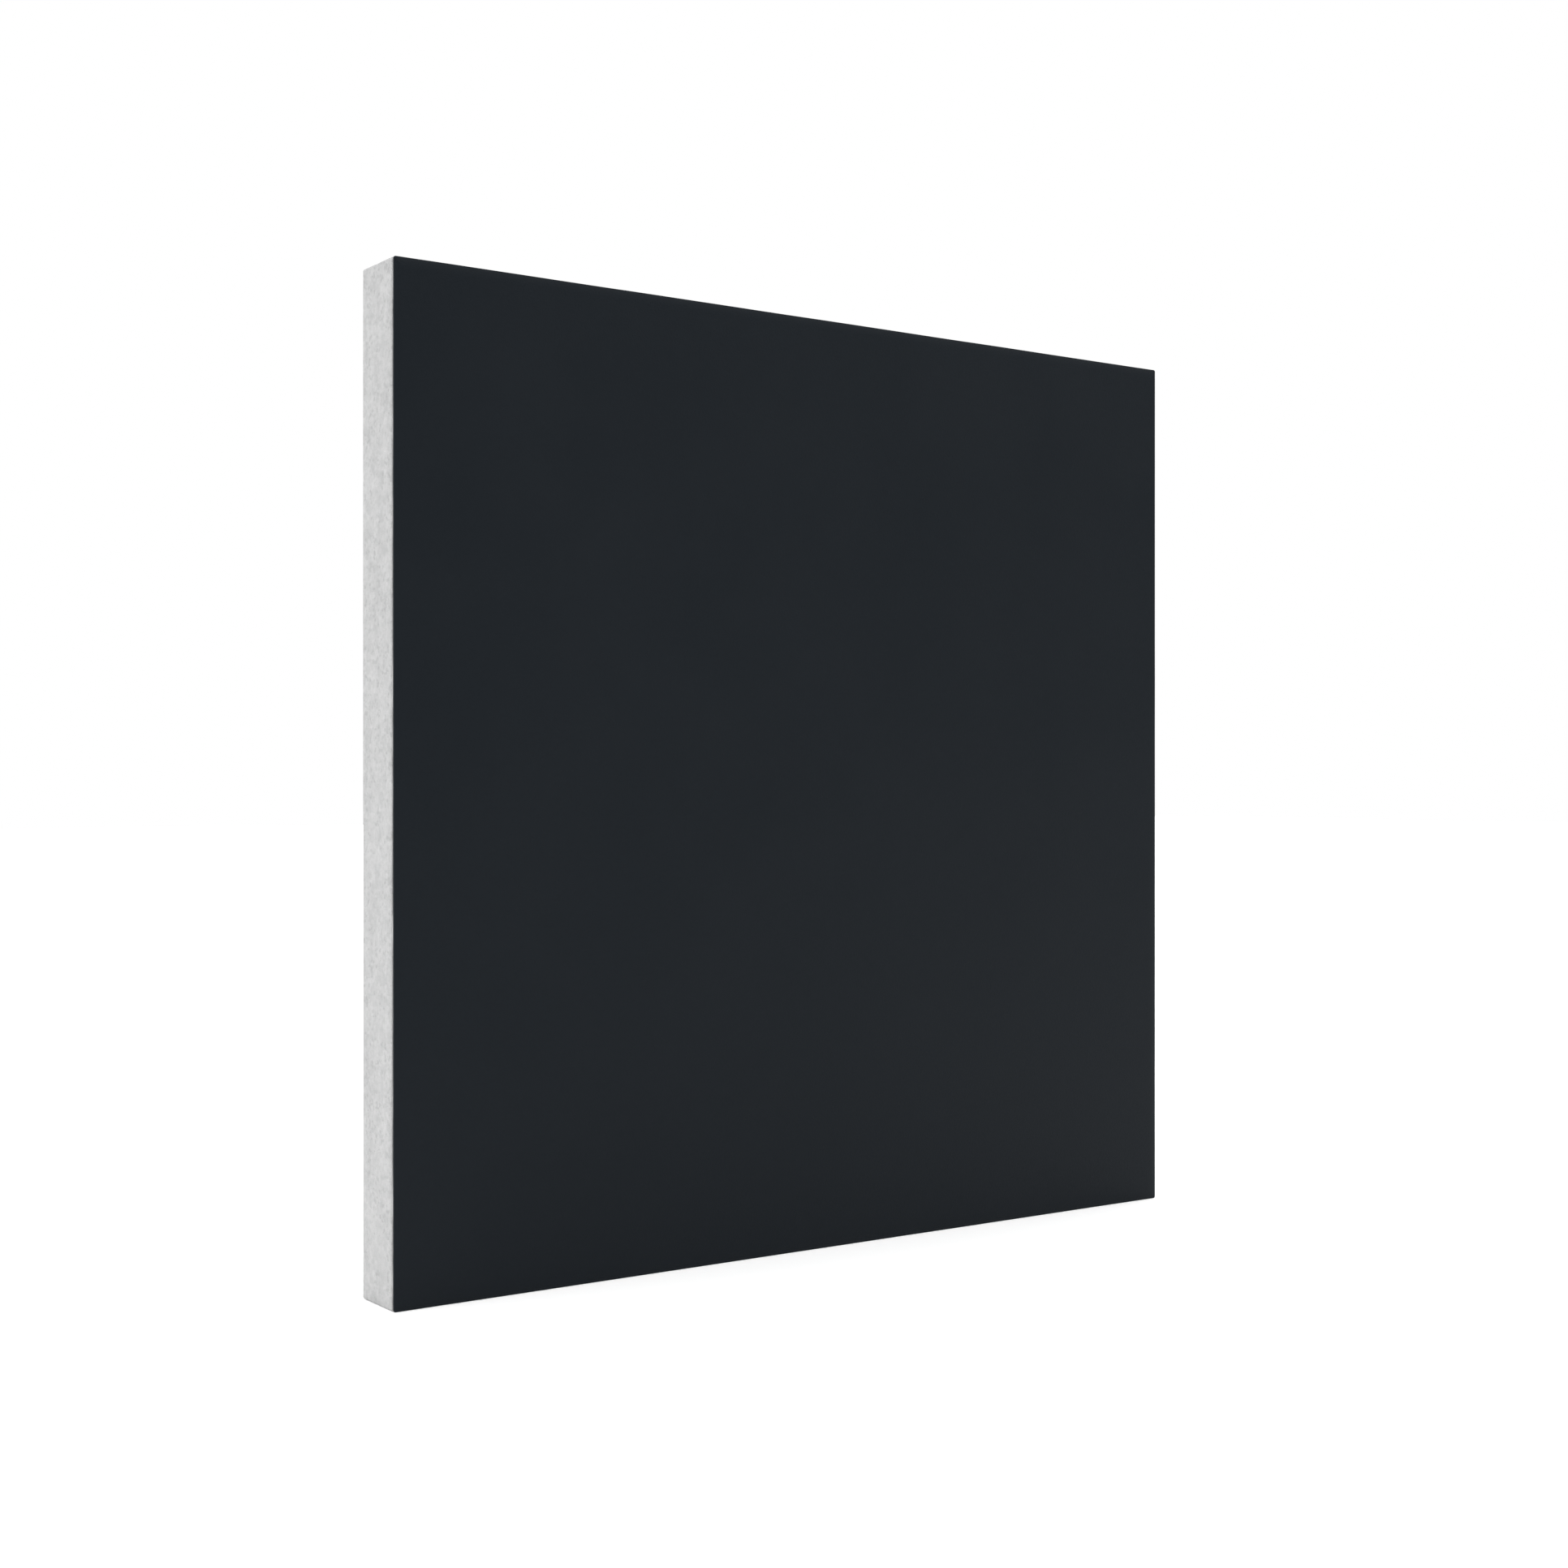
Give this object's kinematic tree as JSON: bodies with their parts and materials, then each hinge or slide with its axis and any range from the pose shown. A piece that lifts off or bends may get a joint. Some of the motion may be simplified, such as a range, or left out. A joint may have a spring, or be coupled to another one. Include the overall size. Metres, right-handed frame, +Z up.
{
  "type": "granite slab",
  "caption": "Flat square granite slab with a thin non-slip rubber face, a hard base for stamping and tooling leather.",
  "frame": {"origin": "middle of the bottom edge face, half way through the whole thickness, at the level of what the slab stands on", "axes": "+Z up along the height as the slab stands on edge, +X along the width, +Y through the thickness out of the granite working face. In use the slab lies flat: -Y, the rubber face, goes down on the bench and +Y faces up"},
  "size_m": [0.3048, 0.0216, 0.3048],
  "materials": {
    "granite": "light grey mottled granite, honed sides and a polished working face",
    "adhesive": "dried contact adhesive",
    "rubber": "smooth satin black sheet rubber"
  },
  "bodies": {
    "root": {"granite_slab": "granite", "adhesive_film": "adhesive", "rubber_backing": "rubber"}
  },
  "joints": []
}
